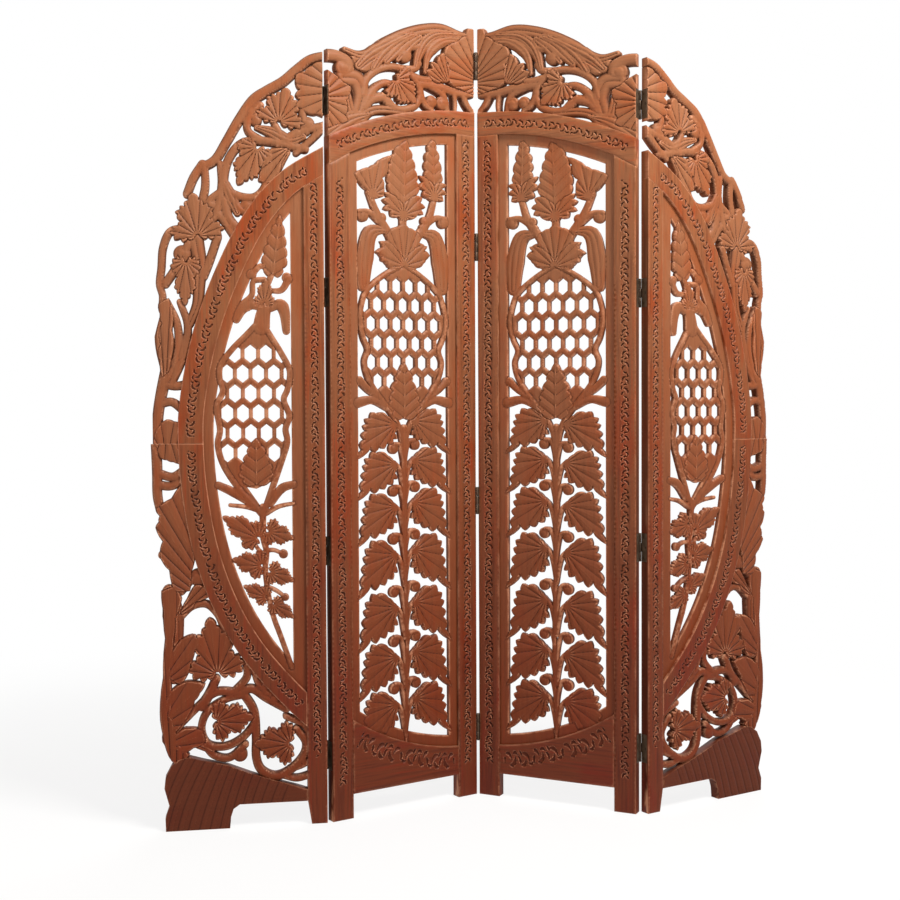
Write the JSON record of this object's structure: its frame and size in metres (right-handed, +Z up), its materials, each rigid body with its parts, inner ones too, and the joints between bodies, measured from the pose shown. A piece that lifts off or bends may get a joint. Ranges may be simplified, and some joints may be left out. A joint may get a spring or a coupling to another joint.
{
  "type": "folding carved screen",
  "caption": "Folding carved wooden room divider: pierced jali panels in a round frame, an arched crest and bracket feet, hinged in a zigzag.",
  "frame": {"origin": "bottom centre of the bounding box, on the floor that the screen stands on", "axes": "+Z up, +X to the right along the screen as seen from its front, +Y from its front to its back"},
  "size_m": [1.4228, 0.3338, 1.823],
  "materials": {
    "frame_wood": "reddish brown varnish, worn pale at the edges",
    "carved_wood": "terracotta stain, satin, darker in the hollows",
    "hinge_metal": "dark antique"
  },
  "bodies": {
    "panel_1": {"panel_1_hinge_stile": "frame_wood", "panel_1_bow_upper": "frame_wood", "panel_1_bow_lower": "frame_wood", "panel_1_fret_board": "carved_wood", "panel_1_outer_carving_upper": "carved_wood", "panel_1_outer_carving_lower": "carved_wood", "panel_1_foot": "frame_wood", "panel_1_hinge_plates": "hinge_metal"},
    "panel_2": {"panel_2_centre_stile": "frame_wood", "panel_2_outer_stile": "frame_wood", "panel_2_arch_rail": "frame_wood", "panel_2_bottom_rail": "frame_wood", "panel_2_fret_board": "carved_wood", "panel_2_crest": "carved_wood", "panel_2_outer_hinge_plates": "hinge_metal", "panel_2_outer_hinge_pins": "hinge_metal", "panel_2_middle_hinge_plates": "hinge_metal"},
    "panel_3": {"panel_3_centre_stile": "frame_wood", "panel_3_outer_stile": "frame_wood", "panel_3_arch_rail": "frame_wood", "panel_3_bottom_rail": "frame_wood", "panel_3_fret_board": "carved_wood", "panel_3_crest": "carved_wood", "panel_3_outer_hinge_plates": "hinge_metal", "panel_3_outer_hinge_pins": "hinge_metal", "panel_3_middle_hinge_plates": "hinge_metal", "panel_3_middle_hinge_pins": "hinge_metal"},
    "panel_4": {"panel_4_hinge_stile": "frame_wood", "panel_4_bow_upper": "frame_wood", "panel_4_bow_lower": "frame_wood", "panel_4_fret_board": "carved_wood", "panel_4_outer_carving_upper": "carved_wood", "panel_4_outer_carving_lower": "carved_wood", "panel_4_foot": "frame_wood", "panel_4_hinge_plates": "hinge_metal"}
  },
  "joints": [
    {"name": "joint_1_hinges", "type": "hinge", "parent": "panel_2", "child": "panel_1", "pos_m": [-0.33805, -0.07809, 0.9], "axis": [0, 0, -1], "range_deg": [-23.9, 156.1]},
    {"name": "joint_2_hinges", "type": "hinge", "parent": "panel_2", "child": "panel_3", "pos_m": [0.00694, 0.11082, 0.9], "axis": [0, 0, -1], "range_deg": [-58.8, 121.2]},
    {"name": "joint_3_hinges", "type": "hinge", "parent": "panel_3", "child": "panel_4", "pos_m": [0.37486, -0.02824, 0.9], "axis": [0, 0, 1], "range_deg": [-57.2, 122.8]}
  ]
}
